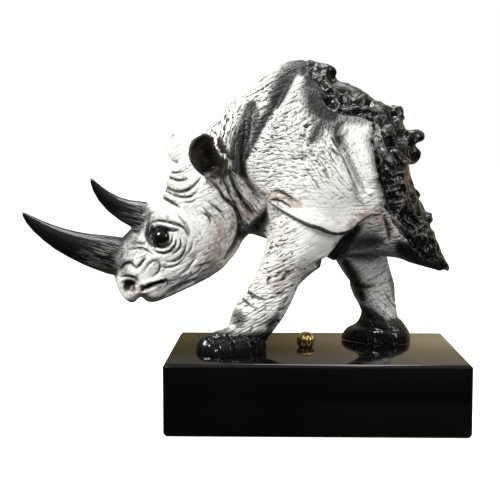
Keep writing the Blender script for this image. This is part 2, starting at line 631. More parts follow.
def smooth_line(path, steps=5):
    """A smooth line through the points of a path."""
    path = np.array(path, dtype=float)
    before = np.vstack((2 * path[0] - path[1], path[:-2], path[-2]))[: len(path) - 1]
    start, end = path[:-1], path[1:]
    after = np.vstack((path[2:], 2 * path[-1] - path[-2]))
    line = []
    for t in np.arange(steps) / steps:
        bend = (2 * before - 5 * start + 4 * end - after) * t * t
        twist = (3 * start - before - 3 * end + after) * t**3
        line.append(0.5 * (2 * start + (end - before) * t + bend + twist))
    return np.vstack((np.stack(line, axis=1).reshape(-1, 2), path[-1]))


def beside(plan, path, reach):
    """The points within reach of a line on the side view, with their signed distance and share of the way."""
    line = smooth_line(path)
    near = np.nonzero(np.all((plan > line.min(0) - reach) & (plan < line.max(0) + reach), axis=1))[0]
    points = plan[near]
    distance = np.full(len(near), np.inf)
    along = np.zeros(len(near))
    side = np.ones(len(near))
    travelled = 0.0
    for start, end in zip(line, line[1:]):
        step = end - start
        length = math.hypot(*step)
        offset = points - start
        share = np.clip(offset @ step / length**2, 0, 1)
        apart = np.linalg.norm(offset - share[:, None] * step, axis=1)
        closer = apart < distance
        distance[closer] = apart[closer]
        along[closer] = travelled + share[closer] * length
        side[closer] = np.where(step[0] * offset[closer, 1] > step[1] * offset[closer, 0], 1.0, -1.0)
        travelled += length
    return near, distance * side, along / travelled


def running_out(along):
    """Full strength along a stroke, and none at its two ends."""
    return np.sqrt(np.clip(4 * along * (1 - along), 0, 1))


def read_skin(mesh):
    """The vertices and their normals, as two arrays."""
    points = np.empty(len(mesh.vertices) * 3)
    mesh.vertices.foreach_get("co", points)
    normals = np.empty(len(mesh.vertices) * 3)
    mesh.vertices.foreach_get("normal", normals)
    return points.reshape(-1, 3), normals.reshape(-1, 3)


def write_skin(mesh, points):
    mesh.vertices.foreach_set("co", points.astype(np.float32).ravel())
    mesh.update()


def crust_depth(points):
    """How far each point lies beyond the hide's torn edge. It is negative on the hide."""
    heights, edges = zip(*HIDE_EDGE)
    height = points[:, 2]
    ragged = np.sin(0.9 * height + 1.7 * np.sin(0.53 * height)) + 0.6 * np.sin(2.9 * height + 2.0 * np.sin(0.8 * height))
    return points[:, 0] - np.interp(height, heights, edges) + 0.35 * ragged


def drape_lift(points, path, chosen):
    """A hem of hide that stands over the limb beneath it."""
    lift = np.zeros(len(points))
    near, distance, along = beside(points[:, (0, 2)], path, 3 * DRAPE_REACH)
    above = smoothstep(-0.35, 0.35, distance)
    over = DRAPE_HEIGHT * hump(distance, DRAPE_REACH)
    under = -DRAPE_UNDERCUT * hump(distance, DRAPE_UNDERCUT_REACH)
    lift[near] = running_out(along) * (above * over + (1 - above) * under)
    return lift * chosen


def carving(points):
    """How far the strokes lift each point off the rounded form."""
    plan = points[:, (0, 2)]
    lift = np.zeros(len(points))
    for half_width, depth, _, path in CREASES.values():
        near, distance, along = beside(plan, path, 4 * half_width)
        swell = CREASE_SWELL * hump(np.abs(distance) - 2 * half_width, half_width)
        lift[near] += depth * running_out(along) * (swell - hump(distance, half_width))
    for half_width, height, path in RIDGES.values():
        near, distance, along = beside(plan, path, 3 * half_width)
        lift[near] += height * running_out(along) * hump(distance, half_width)
    for x, z, radius, height in MASSES.values():
        lift += height * hump(np.hypot(plan[:, 0] - x, plan[:, 1] - z), radius)
    for x, z, radius, depth, rim in PITS.values():
        distance = np.hypot(plan[:, 0] - x, plan[:, 1] - z)
        lift += rim * hump(distance - 1.5 * radius, 0.7 * radius) - depth * hump(distance, radius)
    left = smoothstep(1.0, -1.0, points[:, 1])
    lift += drape_lift(points, LEFT_DRAPE, left) + drape_lift(points, RIGHT_DRAPE, 1 - left)
    return lift * smoothstep(0.5, -1.5, crust_depth(points))


def levelled(mesh, points, rounds):
    """The points moved towards the middle of their neighbours, as many times as asked."""
    ends = np.empty(len(mesh.edges) * 2, dtype=np.int32)
    mesh.edges.foreach_get("vertices", ends)
    first, second = ends.reshape(-1, 2).T
    count = np.bincount(ends, minlength=len(points))[:, None]
    level = points.copy()
    for _ in range(rounds):
        sums = [
            np.bincount(first, level[second, i], len(points)) + np.bincount(second, level[first, i], len(points))
            for i in range(3)
        ]
        level = 0.3 * level + 0.7 * np.column_stack(sums) / count
    return level


def off_ears(points):
    """One on the body and none on the ears, which keep the thickness of their walls."""
    keep = np.ones(len(points))
    for ear in (LEFT_EAR, RIGHT_EAR):
        tipwards, _, outwards = ear_frame(ear)
        middle = np.array(Vector(ear[0]) + tipwards * (0.55 * ear[3]) + outwards * (ear[4] * EAR_ROWS[3][1]))
        distance = np.linalg.norm(points - middle, axis=1)
        keep *= smoothstep(0.55 * ear[3], 0.75 * ear[3], distance)
    return keep


# The figure: the torn edge
# Where the body ends, the clay was torn and crumpled while soft: sharp curling ridges round smooth hollows,
# coarse near the hump and the point, and in thin layers halfway down.
TORN_FOLD = 6.5
TORN_STRETCH = 1.4
TORN_RUN_DEG = -62.0
TORN_LAYER = 2.6
TORN_LAYER_RUN_DEG = 8.0
TORN_RELIEF = 1.4
TORN_LAYER_RELIEF = 0.25
TORN_SMOOTHING = 4
TORN_WARP = 1.0
# The larger curls, hems and strands of the tear: half width, height, points x, z.
TORN_RIDGES = {
    "crown": (0.8, 0.9, ((-1.3, 93.1), (0.8, 93.8), (3.5, 94.5))),
    "crown_back": (0.9, 0.9, ((-3.0, 96.6), (0.6, 97.4), (4.4, 97.2))),
    "curl": (0.7, 1.4, ((4.9, 93.2), (6.3, 90.8), (8.0, 89.7), (9.9, 90.6))),
    "leaf": (0.9, 1.1, ((4.4, 91.4), (5.0, 89.2), (7.2, 88.5))),
    "sickle": (0.9, 1.7, ((1.9, 87.4), (2.5, 84.6), (3.9, 82.6), (5.6, 81.5), (6.7, 82.6), (6.2, 84.8))),
    "scallop": (1.0, 1.5, ((6.6, 85.9), (7.3, 83.3), (8.9, 81.8), (11.0, 82.4), (14.8, 83.6))),
    "fold_1": (0.8, 1.1, ((8.2, 87.6), (9.7, 85.3), (11.6, 84.0))),
    "fold_2": (0.8, 1.1, ((10.2, 87.9), (11.8, 85.7), (13.7, 84.6))),
    "bridge": (0.7, 1.3, ((12.3, 84.4), (14.2, 85.7), (15.9, 86.8), (17.9, 87.2))),
    "hoop": (0.7, 1.3, ((17.6, 87.0), (16.5, 85.0), (15.8, 83.2), (17.5, 82.5))),
    "shelf": (0.9, 1.9, ((11.5, 81.7), (15.9, 82.1), (19.4, 81.7), (22.5, 82.4), (25.6, 83.6))),
    "shelf_foot": (0.7, 0.9, ((15.0, 80.2), (18.7, 79.9), (22.1, 80.6), (24.4, 81.4))),
    "back_rim": (0.7, 1.0, ((18.7, 86.9), (20.7, 84.6), (23.4, 83.2))),
    "strip": (1.5, 1.7, ((18.9, 74.4), (20.5, 70.4), (22.3, 67.2), (24.3, 64.2), (25.8, 61.0))),
    "strip_rim": (0.6, 0.7, ((20.0, 74.0), (22.0, 70.2), (24.0, 67.0), (26.4, 63.4))),
    "lobe_1": (0.7, 1.1, ((29.0, 69.0), (30.4, 71.4), (31.4, 73.6))),
    "lobe_2": (0.8, 1.1, ((27.6, 65.8), (29.6, 64.8), (31.8, 65.6))),
    "lobe_3": (0.7, 1.0, ((26.4, 78.0), (28.0, 79.0), (29.4, 77.2))),
    "lobe_4": (0.7, 1.0, ((25.0, 70.0), (27.0, 68.0), (28.4, 65.4))),
    "layer_1": (0.65, 1.1, ((21.4, 60.8), (23.2, 61.9), (25.2, 60.5), (27.6, 61.3), (30.6, 60.2))),
    "layer_2": (0.55, 0.9, ((22.6, 58.0), (25.2, 58.8), (28.0, 59.5), (31.0, 58.6))),
    "layer_3": (0.6, 1.0, ((22.0, 56.1), (24.2, 56.8), (26.2, 57.4), (28.7, 57.8), (31.3, 56.6))),
    "layer_4": (0.5, 0.9, ((22.4, 54.9), (24.9, 55.3), (27.6, 56.1), (30.6, 55.3))),
    "layer_5": (0.6, 1.0, ((23.8, 53.3), (26.6, 54.0), (29.3, 54.0), (32.0, 54.6))),
    "layer_6": (0.6, 1.0, ((23.4, 51.0), (25.9, 51.3), (28.7, 52.1), (30.7, 52.5), (33.3, 51.8))),
    "layer_7": (0.5, 0.9, ((24.6, 49.4), (27.6, 50.3), (30.6, 51.0))),
    "knob": (0.7, 1.1, ((31.8, 55.4), (33.5, 53.4), (34.3, 51.2))),
    "hem": (0.75, 1.7, ((22.0, 54.0), (23.4, 50.6), (24.3, 47.6), (25.9, 45.4), (27.3, 43.4), (29.2, 40.7), (33.8, 36.0))),
    "strand_1": (0.75, 1.7, ((27.6, 49.2), (26.5, 46.6), (28.0, 44.2), (29.8, 42.6), (31.9, 41.1), (33.6, 38.7), (35.0, 36.8))),
    "strand_2": (0.6, 1.3, ((33.6, 50.2), (31.8, 47.9), (30.1, 45.9), (31.8, 44.2), (33.8, 42.5), (34.6, 40.1), (38.8, 37.0))),
    "strand_3": (0.6, 1.2, ((32.6, 48.9), (34.2, 46.2), (36.2, 44.5), (39.2, 43.1))),
    "strand_4": (0.5, 1.0, ((33.8, 41.9), (35.9, 42.8), (37.5, 44.4))),
    "strand_5": (0.5, 1.0, ((35.7, 42.0), (37.3, 39.4), (38.5, 37.9))),
    "strand_6": (0.5, 1.0, ((39.4, 42.7), (37.6, 40.4), (37.3, 38.2))),
    "strand_7": (0.7, 1.1, ((34.3, 36.4), (35.5, 33.6), (37.3, 31.3), (38.6, 29.4))),
    "strand_8": (0.6, 0.9, ((36.6, 36.2), (38.2, 33.8), (39.0, 31.6))),
}
# Smooth hollows between them: x, z, radius, depth. A negative depth is a smooth lobe.
TORN_HOLLOWS = {
    "curl": (7.2, 92.6, 2.2, 2.2),
    "sickle": (4.2, 85.0, 1.7, 1.8),
    "hoop": (18.2, 84.6, 1.9, 2.4),
    "scallop": (8.8, 84.2, 1.2, 1.2),
    "lobe": (23.8, 73.8, 2.7, -1.6),
    "lobe_head": (23.0, 77.4, 1.4, 1.8),
    "lobe_foot": (24.4, 70.2, 2.0, 2.0),
    "rim": (28.6, 73.6, 1.8, 2.0),
    "strand_1": (29.4, 46.8, 1.7, 2.0),
    "strand_2": (32.4, 46.2, 1.4, 1.4),
    "strand_3": (36.0, 46.8, 1.4, 1.4),
    "strand_4": (32.4, 39.0, 1.1, 1.2),
}
# A dark gap runs between the hide and the first strip beyond it: half width, depth, points x, z.
TORN_GAP = (0.9, 2.0, ((18.4, 73.0), (19.4, 69.2), (21.0, 65.8), (21.1, 62.2), (20.8, 58.8), (21.6, 54.7)))


def run_frame(points, run_deg, cell, stretch):
    """The points in cells drawn out along a run on the side view."""
    turn = math.radians(run_deg)
    along = (points[:, 0] * math.cos(turn) + points[:, 2] * math.sin(turn)) / (cell * stretch)
    across = (points[:, 2] * math.cos(turn) - points[:, 0] * math.sin(turn)) / cell
    return np.column_stack((along, points[:, 1] / cell, across))


def torn_relief(points):
    """The lift of the torn edge, and how far each point lies from the nearest ridge, in cells."""
    lift = np.zeros(len(points))
    off_ridge = np.ones(len(points))
    depth = crust_depth(points)
    torn = np.nonzero(depth > -1.0)[0]
    folds = run_frame(points[torn], TORN_RUN_DEG, TORN_FOLD, TORN_STRETCH)
    layers = run_frame(points[torn], TORN_LAYER_RUN_DEG, TORN_LAYER, 2.6)
    heights, gaps = [], []
    for at, fold, layer in zip(points[torn], folds, layers):
        warp = noise.noise_vector(Vector(at) / (1.2 * TORN_FOLD)) * TORN_WARP
        near, _ = noise.voronoi(Vector(fold) + warp)
        ridge = max(0.0, 1 - 1.25 * (near[1] - near[0]))
        fine = noise.noise(Vector(layer) + 2.5 * warp)
        fine = (1 - min(1.0, 2.6 * abs(fine))) ** 2
        layered = math.exp(-(((at[2] - 55) / 9) ** 2))
        layer_height = (0.15 + 0.85 * layered) * TORN_LAYER_RELIEF * (fine - 0.5)
        heights.append(TORN_RELIEF * (ridge * ridge - 0.75) + layer_height)
        gaps.append(min(near[1] - near[0], 0.15 + 1.2 * (1 - fine) + (1 - layered)))
    lift[torn] = heights
    off_ridge[torn] = np.clip(2.5 * np.array(gaps), 0.0, 0.98)
    plan = points[:, (0, 2)]
    for half_width, height, path in TORN_RIDGES.values():
        near, distance, along = beside(plan, path, 4 * half_width)
        strength = running_out(along)
        trough = 0.3 * hump(np.abs(distance) - 2.2 * half_width, half_width)
        lift[near] += height * strength * (hump(distance, half_width) - trough)
        clear = 0.12 * np.abs(distance) / half_width + 0.3 * (1 - strength)
        off_ridge[near] = np.minimum(off_ridge[near], clear)
    for x, z, radius, deep in TORN_HOLLOWS.values():
        lift -= deep * hump(np.hypot(plan[:, 0] - x, plan[:, 1] - z), radius)
    half_width, deep, path = TORN_GAP
    near, distance, along = beside(plan, path, 4 * half_width)
    gap = np.zeros(len(points))
    gap[near] = -deep * running_out(along) * hump(distance, half_width)
    off_ridge[depth < -1.0] = 1.0
    share = smoothstep(-1.0, 1.2, depth)
    gully = -0.9 * hump(depth - 0.9, 0.9)
    return lift * share + gully + gap * smoothstep(-2.5, 0.0, depth), off_ridge


# The figure: the hide's wrinkles
# Fine wrinkles cover the hide. Their run, spacing and strength follow these places on the side view:
# x, z, run in degrees from level, spacing, length over spacing, depth, and how much wash they hold.
HIDE = (
    (-13.0, 39.0, 27, 1.7, 6.5, 0.3, 1.0),
    (-15.5, 28.0, 24, 1.6, 6.5, 0.3, 1.0),
    (-9.0, 30.0, 32, 1.6, 5.0, 0.16, 0.4),
    (-22.0, 20.0, 14, 1.5, 5.0, 0.3, 0.95),
    (-26.0, 12.0, 30, 1.3, 6.0, 0.28, 1.0),
    (-3.0, 38.0, 20, 1.8, 2.5, 0.06, 0.05),
    (17.0, 26.0, 42, 1.4, 4.0, 0.2, 0.45),
    (20.0, 18.0, 12, 1.4, 3.5, 0.25, 0.6),
    (25.5, 12.0, -58, 1.3, 3.0, 0.25, 0.7),
    (-35.0, 53.0, 24, 1.1, 3.0, 0.16, 0.5),
    (-29.0, 56.0, -62, 1.3, 4.0, 0.25, 0.6),
    (-22.0, 49.0, -50, 1.3, 3.5, 0.22, 0.6),
    (-38.0, 39.0, 62, 1.5, 3.0, 0.14, 0.35),
    (-44.0, 33.0, 40, 1.4, 3.0, 0.16, 0.4),
    (-46.0, 26.0, 35, 1.2, 3.5, 0.18, 0.55),
    (-58.0, 28.0, 20, 1.4, 2.5, 0.1, 0.25),
    (-55.0, 49.0, 50, 1.3, 3.0, 0.14, 0.4),
    (-46.0, 45.0, -55, 1.3, 3.0, 0.1, 0.2),
    (-47.0, 58.0, 8, 1.2, 4.0, 0.22, 0.6),
    (-41.0, 62.0, 40, 1.2, 3.5, 0.2, 0.6),
    (-62.0, 38.0, 50, 1.2, 3.0, 0.15, 0.5),
    (-27.0, 80.0, 72, 1.4, 4.0, 0.34, 1.1),
    (-30.0, 68.0, 80, 1.3, 4.5, 0.34, 1.2),
    (-19.0, 84.0, 18, 1.4, 2.4, 0.4, 1.4),
    (-20.0, 74.0, 8, 1.4, 2.6, 0.4, 1.4),
    (-14.0, 94.0, 24, 1.1, 1.8, 0.24, 0.7),
    (-12.0, 86.0, 40, 1.2, 2.4, 0.2, 0.9),
    (-5.0, 86.0, 58, 1.2, 2.0, 0.12, 0.25),
    (-19.0, 62.0, 2, 1.5, 2.2, 0.3, 0.75),
    (-9.0, 72.0, -18, 1.4, 2.0, 0.3, 0.9),
    (-3.0, 64.0, -24, 1.4, 1.8, 0.28, 0.8),
    (-12.0, 60.0, 8, 1.5, 1.9, 0.28, 0.8),
    (-1.0, 76.0, 52, 1.3, 2.4, 0.34, 1.3),
    (6.5, 66.0, -52, 1.2, 3.4, 0.28, 0.75),
    (8.0, 56.0, -30, 1.3, 2.6, 0.18, 0.35),
    (-6.0, 51.0, -12, 1.5, 2.2, 0.12, 0.18),
    (4.0, 47.0, -8, 1.6, 2.2, 0.08, 0.08),
    (15.0, 73.0, 86, 1.1, 2.2, 0.14, 0.3),
    (17.0, 64.0, 20, 1.1, 1.8, 0.1, 0.2),
    (18.5, 54.0, 4, 1.1, 2.8, 0.22, 0.6),
    (23.5, 43.0, 16, 1.1, 4.0, 0.3, 0.85),
    (15.0, 37.0, 0, 1.8, 2.5, 0.04, 0.05),
    (2.0, 85.0, 74, 1.1, 2.2, 0.16, 0.4),
)
HIDE_BLEND = 5.0
# Wrinkles lie in wavy rows, each broken into dashes.
ROW_PER_SPACING = 1.1
ROW_WAVE = 8.0
WRINKLE_FROM = -0.35
WRINKLE_TO = -0.95
DASH_BREAK = 2.2
# The finest cracks run one of four ways: degrees from level, length and spacing in metres.
HATCHES = ((0, 0.011, 0.0042), (28, 0.022, 0.0048), (-50, 0.017, 0.0044), (78, 0.012, 0.004))


def hide_wrinkles(points):
    """The wrinkle field, which is lowest in the wrinkles, with each point's depth and wash."""
    field = np.zeros(len(points))
    power = np.full(len(points), 1e-9)
    total = np.full(len(points), 1e-9)
    depth = np.zeros(len(points))
    wash = np.zeros(len(points))
    for x, z, run, spacing, stretch, deep, dark in HIDE:
        apart = np.hypot(points[:, 0] - x, points[:, 2] - z)
        weight = hump(apart, 1.6 * HIDE_BLEND) + 1e-4 * hump(apart, 6 * HIDE_BLEND)
        total += weight
        depth += weight * deep
        wash += weight * dark
        near = np.nonzero(weight > 0.03)[0]
        turn = math.radians(run)
        row = ROW_PER_SPACING * spacing
        along = points[near, 0] * math.cos(turn) + points[near, 2] * math.sin(turn)
        across = (points[near, 2] * math.cos(turn) - points[near, 0] * math.sin(turn)) / row
        places = zip(along / (1.3 * stretch * spacing), points[near, 1] / (1.5 * row), across / 1.6)
        waves = np.array([noise.noise(at) for at in places])
        field[near] += weight[near] * np.sin(2 * math.pi * across + ROW_WAVE * waves)
        power[near] += weight[near] ** 2
    gaps = smoothstep(-0.3, 0.15, np.array([noise.noise(at) for at in points / DASH_BREAK]))
    return field / np.sqrt(power), 0.75 * depth / total * (0.3 + 0.7 * gaps), wash / total * gaps


# The figure: the glaze
# White glaze over the whole, with black wash wiped into the creases, black sprayed on in soft patches, and a
# trace of red-brown. Sprayed strokes: half width to the left and to the right, strength, points x, z.
SPRAYED = {
    "hump_band": (4.6, 1.5, 0.9, ((-2.0, 99.4), (-6.0, 96.6), (-9.0, 92.6), (-11.4, 87.2), (-13.6, 83.0))),
    "hump_band_low": (2.6, 0.8, 0.75, ((-9.4, 91.0), (-12.4, 85.8), (-15.6, 80.4), (-19.6, 73.6), (-23.4, 66.0))),
    "hump_top": (3.6, 3.6, 1.0, ((4.0, 97.0), (0.4, 95.0), (-3.0, 98.5))),
    "hump_crown": (2.6, 2.6, 0.85, ((-4.4, 98.0), (-3.4, 93.5))),
    "hump_side": (4.6, 4.6, 1.0, ((0.6, 96.0), (0.2, 90.0), (1.0, 84.0), (5.0, 80.0))),
    "hump_foot": (3.4, 3.4, 0.6, ((2.0, 80.0), (4.0, 76.0))),
    "flank_top": (2.4, 2.4, 0.5, ((-1.5, 79.0), (1.0, 75.0), (-0.5, 72.0))),
    "rib_top": (2.0, 2.0, 0.6, ((8.6, 78.6), (7.0, 75.0), (7.6, 71.0))),
    "hollow": (1.6, 1.0, 0.4, ((9.0, 71.0), (11.5, 64.5), (14.0, 59.0), (16.0, 55.0))),
    "hollow_foot": (1.6, 1.6, 0.4, ((12.0, 57.5), (13.4, 54.0), (15.4, 50.6))),
    "neck": (3.4, 3.4, 0.9, ((-21.6, 84.0), (-22.8, 78.0), (-25.4, 72.0), (-27.2, 67.0), (-26.4, 61.0))),
    "ear_rim": (1.0, 1.0, 0.75, ((-33.0, 73.0), (-31.6, 70.0), (-30.2, 66.0))),
    "shoulder_line": (3.0, 1.4, 0.35, ((-20.6, 78.0), (-23.6, 72.0), (-24.6, 66.0), (-24.6, 59.0))),
    "ear_foot": (1.6, 1.6, 0.7, ((-38.0, 60.0), (-34.0, 60.6), (-31.0, 62.0))),
    "throat": (2.2, 2.2, 0.8, ((-29.5, 39.0), (-25.0, 40.5), (-21.0, 42.5), (-18.2, 47.0))),
    "jaw_edge": (1.4, 1.4, 0.6, ((-33.5, 32.0), (-29.4, 37.0), (-28.0, 43.0))),
    "snout": (3.4, 3.4, 0.85, ((-61.0, 46.5), (-66.0, 42.5), (-70.0, 38.0), (-72.5, 33.0), (-71.0, 27.6))),
    "snout_soft": (5.0, 5.0, 0.5, ((-62.0, 44.0), (-66.0, 39.5), (-68.6, 34.0), (-68.0, 29.0))),
    "eye_corner": (1.3, 1.3, 1.2, ((-58.7, 43.6), (-59.2, 41.4), (-58.8, 38.8), (-57.6, 37.0))),
    "eye_line": (0.5, 0.5, 1.1, ((-58.6, 40.2), (-57.6, 42.0), (-55.7, 42.8), (-52.8, 42.2))),
    "mouth": (0.3, 1.1, 1.0, ((-61.8, 21.6), (-59.4, 23.2), (-56.4, 24.2), (-54.0, 24.4))),
    "lower_lip": (1.6, 1.6, 0.6, ((-60.8, 19.4), (-57.4, 18.0), (-53.6, 19.2))),
    "horn_foot": (2.4, 2.4, 0.55, ((-63.0, 50.5), (-60.2, 49.0), (-59.4, 45.5), (-62.5, 41.0))),
    "flap_top": (2.8, 2.8, 0.5, ((4.0, 80.0), (10.0, 79.2), (18.0, 78.6))),
    "flap_side": (1.6, 1.6, 0.4, ((18.8, 77.0), (17.8, 72.0), (18.6, 66.0))),
    "rib_streak": (1.6, 1.6, 0.7, ((1.6, 78.0), (-0.2, 75.0), (-2.2, 71.0))),
    "nostril": (1.9, 1.9, 1.3, ((-66.4, 24.2), (-65.0, 22.4))),
    "lip_dimple": (1.0, 1.0, 0.6, ((-62.0, 23.0), (-61.2, 22.4))),
    "belly": (4.6, 4.6, 0.7, ((8.0, 36.4), (15.0, 37.6), (21.5, 38.0))),
    "behind_leg": (0.3, 6.5, 0.95, ((12.4, 42.6), (10.0, 40.6), (4.4, 33.2), (-1.0, 28.6))),
    "point": (4.2, 4.2, 1.0, ((29.0, 36.0), (35.0, 31.0), (43.0, 28.0))),
    "far_leg_top": (3.0, 3.0, 0.6, ((10.0, 33.0), (18.0, 32.0), (25.0, 33.0))),
    "far_leg_front": (2.4, 2.4, 0.75, ((11.0, 30.0), (14.6, 23.0), (17.5, 16.0))),
    "far_leg_back": (1.4, 1.4, 0.5, ((27.6, 28.0), (28.4, 21.0), (29.6, 15.0))),
    "far_leg_low": (2.6, 2.6, 0.8, ((15.0, 13.0), (19.0, 11.0), (24.0, 9.0))),
    "far_instep": (2.6, 2.6, 0.85, ((15.6, 8.0), (20.0, 9.6), (25.0, 8.4))),
    "near_ankle": (2.4, 2.4, 0.6, ((-29.6, 14.0), (-30.0, 9.6))),
    "near_heel": (2.6, 2.6, 0.6, ((-17.0, 13.0), (-20.0, 8.0))),
    "elbow": (1.4, 1.4, 0.5, ((-0.5, 30.4), (3.4, 32.4))),
}
TINTED = {
    "cheek": (2.6, 2.6, 0.65, ((-38.4, 45.0), (-36.0, 40.0), (-36.6, 35.0), (-40.0, 30.0))),
    "jaw": (2.2, 2.2, 0.55, ((-31.0, 48.0), (-30.2, 43.0), (-32.4, 38.0))),
    "throat": (2.0, 2.0, 0.7, ((-28.6, 53.0), (-25.6, 48.6), (-21.6, 45.6))),
    "neck": (1.2, 1.2, 0.5, ((-26.0, 60.0), (-24.4, 55.0), (-20.0, 51.6))),
    "pinch": (1.6, 1.6, 0.75, ((-17.0, 54.0), (-11.6, 53.6), (-5.4, 50.6))),
    "drape": (1.6, 1.6, 0.7, ((10.6, 43.4), (14.6, 46.4), (20.6, 48.6))),
    "loin": (2.0, 2.0, 0.6, ((22.0, 46.0), (24.4, 41.0))),
    "foreleg": (3.0, 3.0, 0.35, ((-12.6, 32.0), (-17.6, 23.0))),
    "lips": (1.6, 1.6, 0.6, ((-66.8, 24.6), (-64.0, 20.6), (-60.8, 22.6))),
    "ear": (2.0, 2.0, 0.35, ((-39.0, 58.0), (-34.0, 57.0))),
}


def strokes(points, table):
    """The strength of soft strokes at each point, where the strongest stroke counts."""
    amount = np.zeros(len(points))
    for left, right, strength, path in table.values():
        near, distance, along = beside(points[:, (0, 2)], path, 3 * max(left, right))
        width = 1.2 * np.where(distance < 0, left, right) * (0.5 + 0.5 * running_out(along))
        amount[near] = np.maximum(amount[near], strength * hump(distance, width))
    return amount


def crease_lines(points):
    """The distance to the nearest crease or hem, and how much wash that line holds."""
    plan = points[:, (0, 2)]
    nearest = np.full(len(points), 6.0)
    wash = np.zeros(len(points))
    left = points[:, 1] < 0
    lines = [(dark, half_width, path, None) for half_width, _, dark, path in CREASES.values()]
    lines += [(1.0, 0.8, LEFT_DRAPE, left), (1.0, 0.8, RIGHT_DRAPE, ~left)]
    for dark, half_width, path, chosen in lines:
        near, distance, along = beside(plan, path, 5.0)
        distance = np.abs(distance) * (0.7 / half_width) + 0.5 * (1 - running_out(along))
        closer = distance < nearest[near]
        if chosen is not None:
            closer &= chosen[near]
        nearest[near[closer]] = distance[closer]
        wash[near[closer]] = dark * running_out(along[closer])
    return nearest, wash


def horn_share(points):
    """How far along a horn each point lies, from 0 at its foot to 1, and 0 off the horns."""
    share = np.zeros(len(points))
    for horn in (FRONT_HORN, REAR_HORN):
        line = np.array([(x, z) for x, z, _ in horn])
        near, distance, along = beside(points[:, (0, 2)], line, 8.0)
        radii = np.interp(along, np.linspace(0, 1, len(horn)), [ring[2] for ring in horn])
        inside = np.abs(distance) < radii + 1.2
        share[near[inside]] = np.maximum(share[near[inside]], along[inside])
    return share


def sprayed_black(points, normals):
    """How much sprayed black each point carries."""
    black = strokes(points, SPRAYED)
    depth = crust_depth(points)
    high = smoothstep(72.0, 84.0, points[:, 2])
    black = np.maximum(black, smoothstep(-1.0 - 5.0 * high, 0.6, depth) * (0.35 + 0.65 * (depth > -0.6)))
    black = np.maximum(black, smoothstep(-0.8, 0.3, depth))
    black = np.maximum(black, 0.5 * smoothstep(-4.5, 0.0, depth) * smoothstep(40.0, 52.0, points[:, 2]))
    legs = smoothstep(11.0, 5.5, points[:, 2] - 0.02 * points[:, 0])
    black = np.maximum(black, legs)
    black = np.maximum(black, smoothstep(0.06, 0.16, horn_share(points)))
    facing_down = smoothstep(-0.25, -0.95, normals[:, 2]) * (points[:, 2] > 12.0)
    return np.maximum(black, 0.62 * facing_down)


def cup_of(points, normals, ear):
    """One on the inner face of an ear's cup and none elsewhere."""
    tipwards, across, outwards = (np.array(way) for way in ear_frame(ear))
    offset = points - np.array(ear[0])
    share = offset @ tipwards / ear[3]
    shares, radii, _ = zip(*EAR_ROWS)
    radius = ear[4] * np.interp(share, shares, radii)
    sideways, outside = offset @ across, offset @ outwards - radius
    reach = np.hypot(sideways, outside)
    inwards = -(normals @ across * sideways + normals @ outwards * outside) / np.maximum(reach, 0.1)
    near = (reach < radius + 1.6) * smoothstep(-0.12, 0.05, share) * smoothstep(1.08, 0.98, share)
    return near * smoothstep(-0.75, -0.35, inwards)


def hollowness(mesh, rounds):
    """How far each point lies below the level of the skin round it: positive in grooves, negative on ridges."""
    points, normals = read_skin(mesh)
    return np.einsum("ij,ij->i", levelled(mesh, points, rounds) - points, normals)


def hatching(points):
    """How strongly the finest cracks show in each of the four ways they run."""
    total = np.full(len(points), 1e-9)
    strengths = [np.zeros(len(points)) for _ in HATCHES]
    for x, z, run, _, _, _, dark in HIDE:
        apart = np.hypot(points[:, 0] - x, points[:, 2] - z)
        weight = hump(apart, 1.6 * HIDE_BLEND) + 1e-4 * hump(apart, 6 * HIDE_BLEND)
        total += weight
        shares = [max(0.0, 1 - abs((run - way + 90) % 180 - 90) / 40) for way, _, _ in HATCHES]
        for strength, share in zip(strengths, shares):
            strength += weight * dark * share / max(sum(shares), 0.2)
    return [strength / total for strength in strengths]


def paint(mesh, wrinkle, wrinkle_wash, hide, off_ridge):
    """Writes what the glaze needs to the mesh: one number a vertex for each layer."""
    points, normals = read_skin(mesh)
    line, line_wash = crease_lines(points)
    eyes = np.zeros(len(points))
    lid_wash = np.zeros(len(points))
    for x, y, z, radius in EYEBALLS:
        distance = np.linalg.norm(points - np.array((x, y, z)), axis=1)
        eyes = np.maximum(eyes, smoothstep(radius + 0.12, radius - 0.08, distance))
        front = smoothstep(2.0, -0.5, points[:, 0] - x)
        lid_wash = np.maximum(lid_wash, 1.1 * front * smoothstep(radius + 1.2, radius + 0.4, distance))
    cups = np.maximum(cup_of(points, normals, LEFT_EAR), cup_of(points, normals, RIGHT_EAR))
    black = np.maximum.reduce((sprayed_black(points, normals), 0.8 * cups, lid_wash))
    fine, broad = hollowness(mesh, 4), hollowness(mesh, 24)
    clear = (1 - eyes) * (1 - cups)
    layers = {
        "crease_line": line,
        "crease_wash": line_wash * (1 - eyes),
        "wrinkle": wrinkle,
        "wrinkle_wash": wrinkle_wash * clear,
        "sprayed": black * (1 - eyes) + eyes,
        "tint": np.maximum(strokes(points, TINTED) * (1 - eyes), cups),
        "cup": cups,
        "gloss": np.maximum.reduce(
            (eyes, smoothstep(-0.4, 0.4, crust_depth(points)), smoothstep(0.06, 0.2, horn_share(points)))
            + (smoothstep(9.0, 6.0, points[:, 2]),)
        ),
        "hollow": (smoothstep(0.06, 0.3, fine) * 0.6 + smoothstep(0.2, 1.2, broad) * 0.6) * (1 - eyes),
        "off_ridge": off_ridge,
        "horn": horn_share(points),
        "eye": eyes,
    }
    for (way, _, _), strength in zip(HATCHES, hatching(points)):
        layers[f"cracks_{way}"] = strength * hide * clear
    for name, values in layers.items():
        attribute = mesh.attributes.new(name, "FLOAT", "POINT")
        attribute.data.foreach_set("value", values.astype(np.float32))


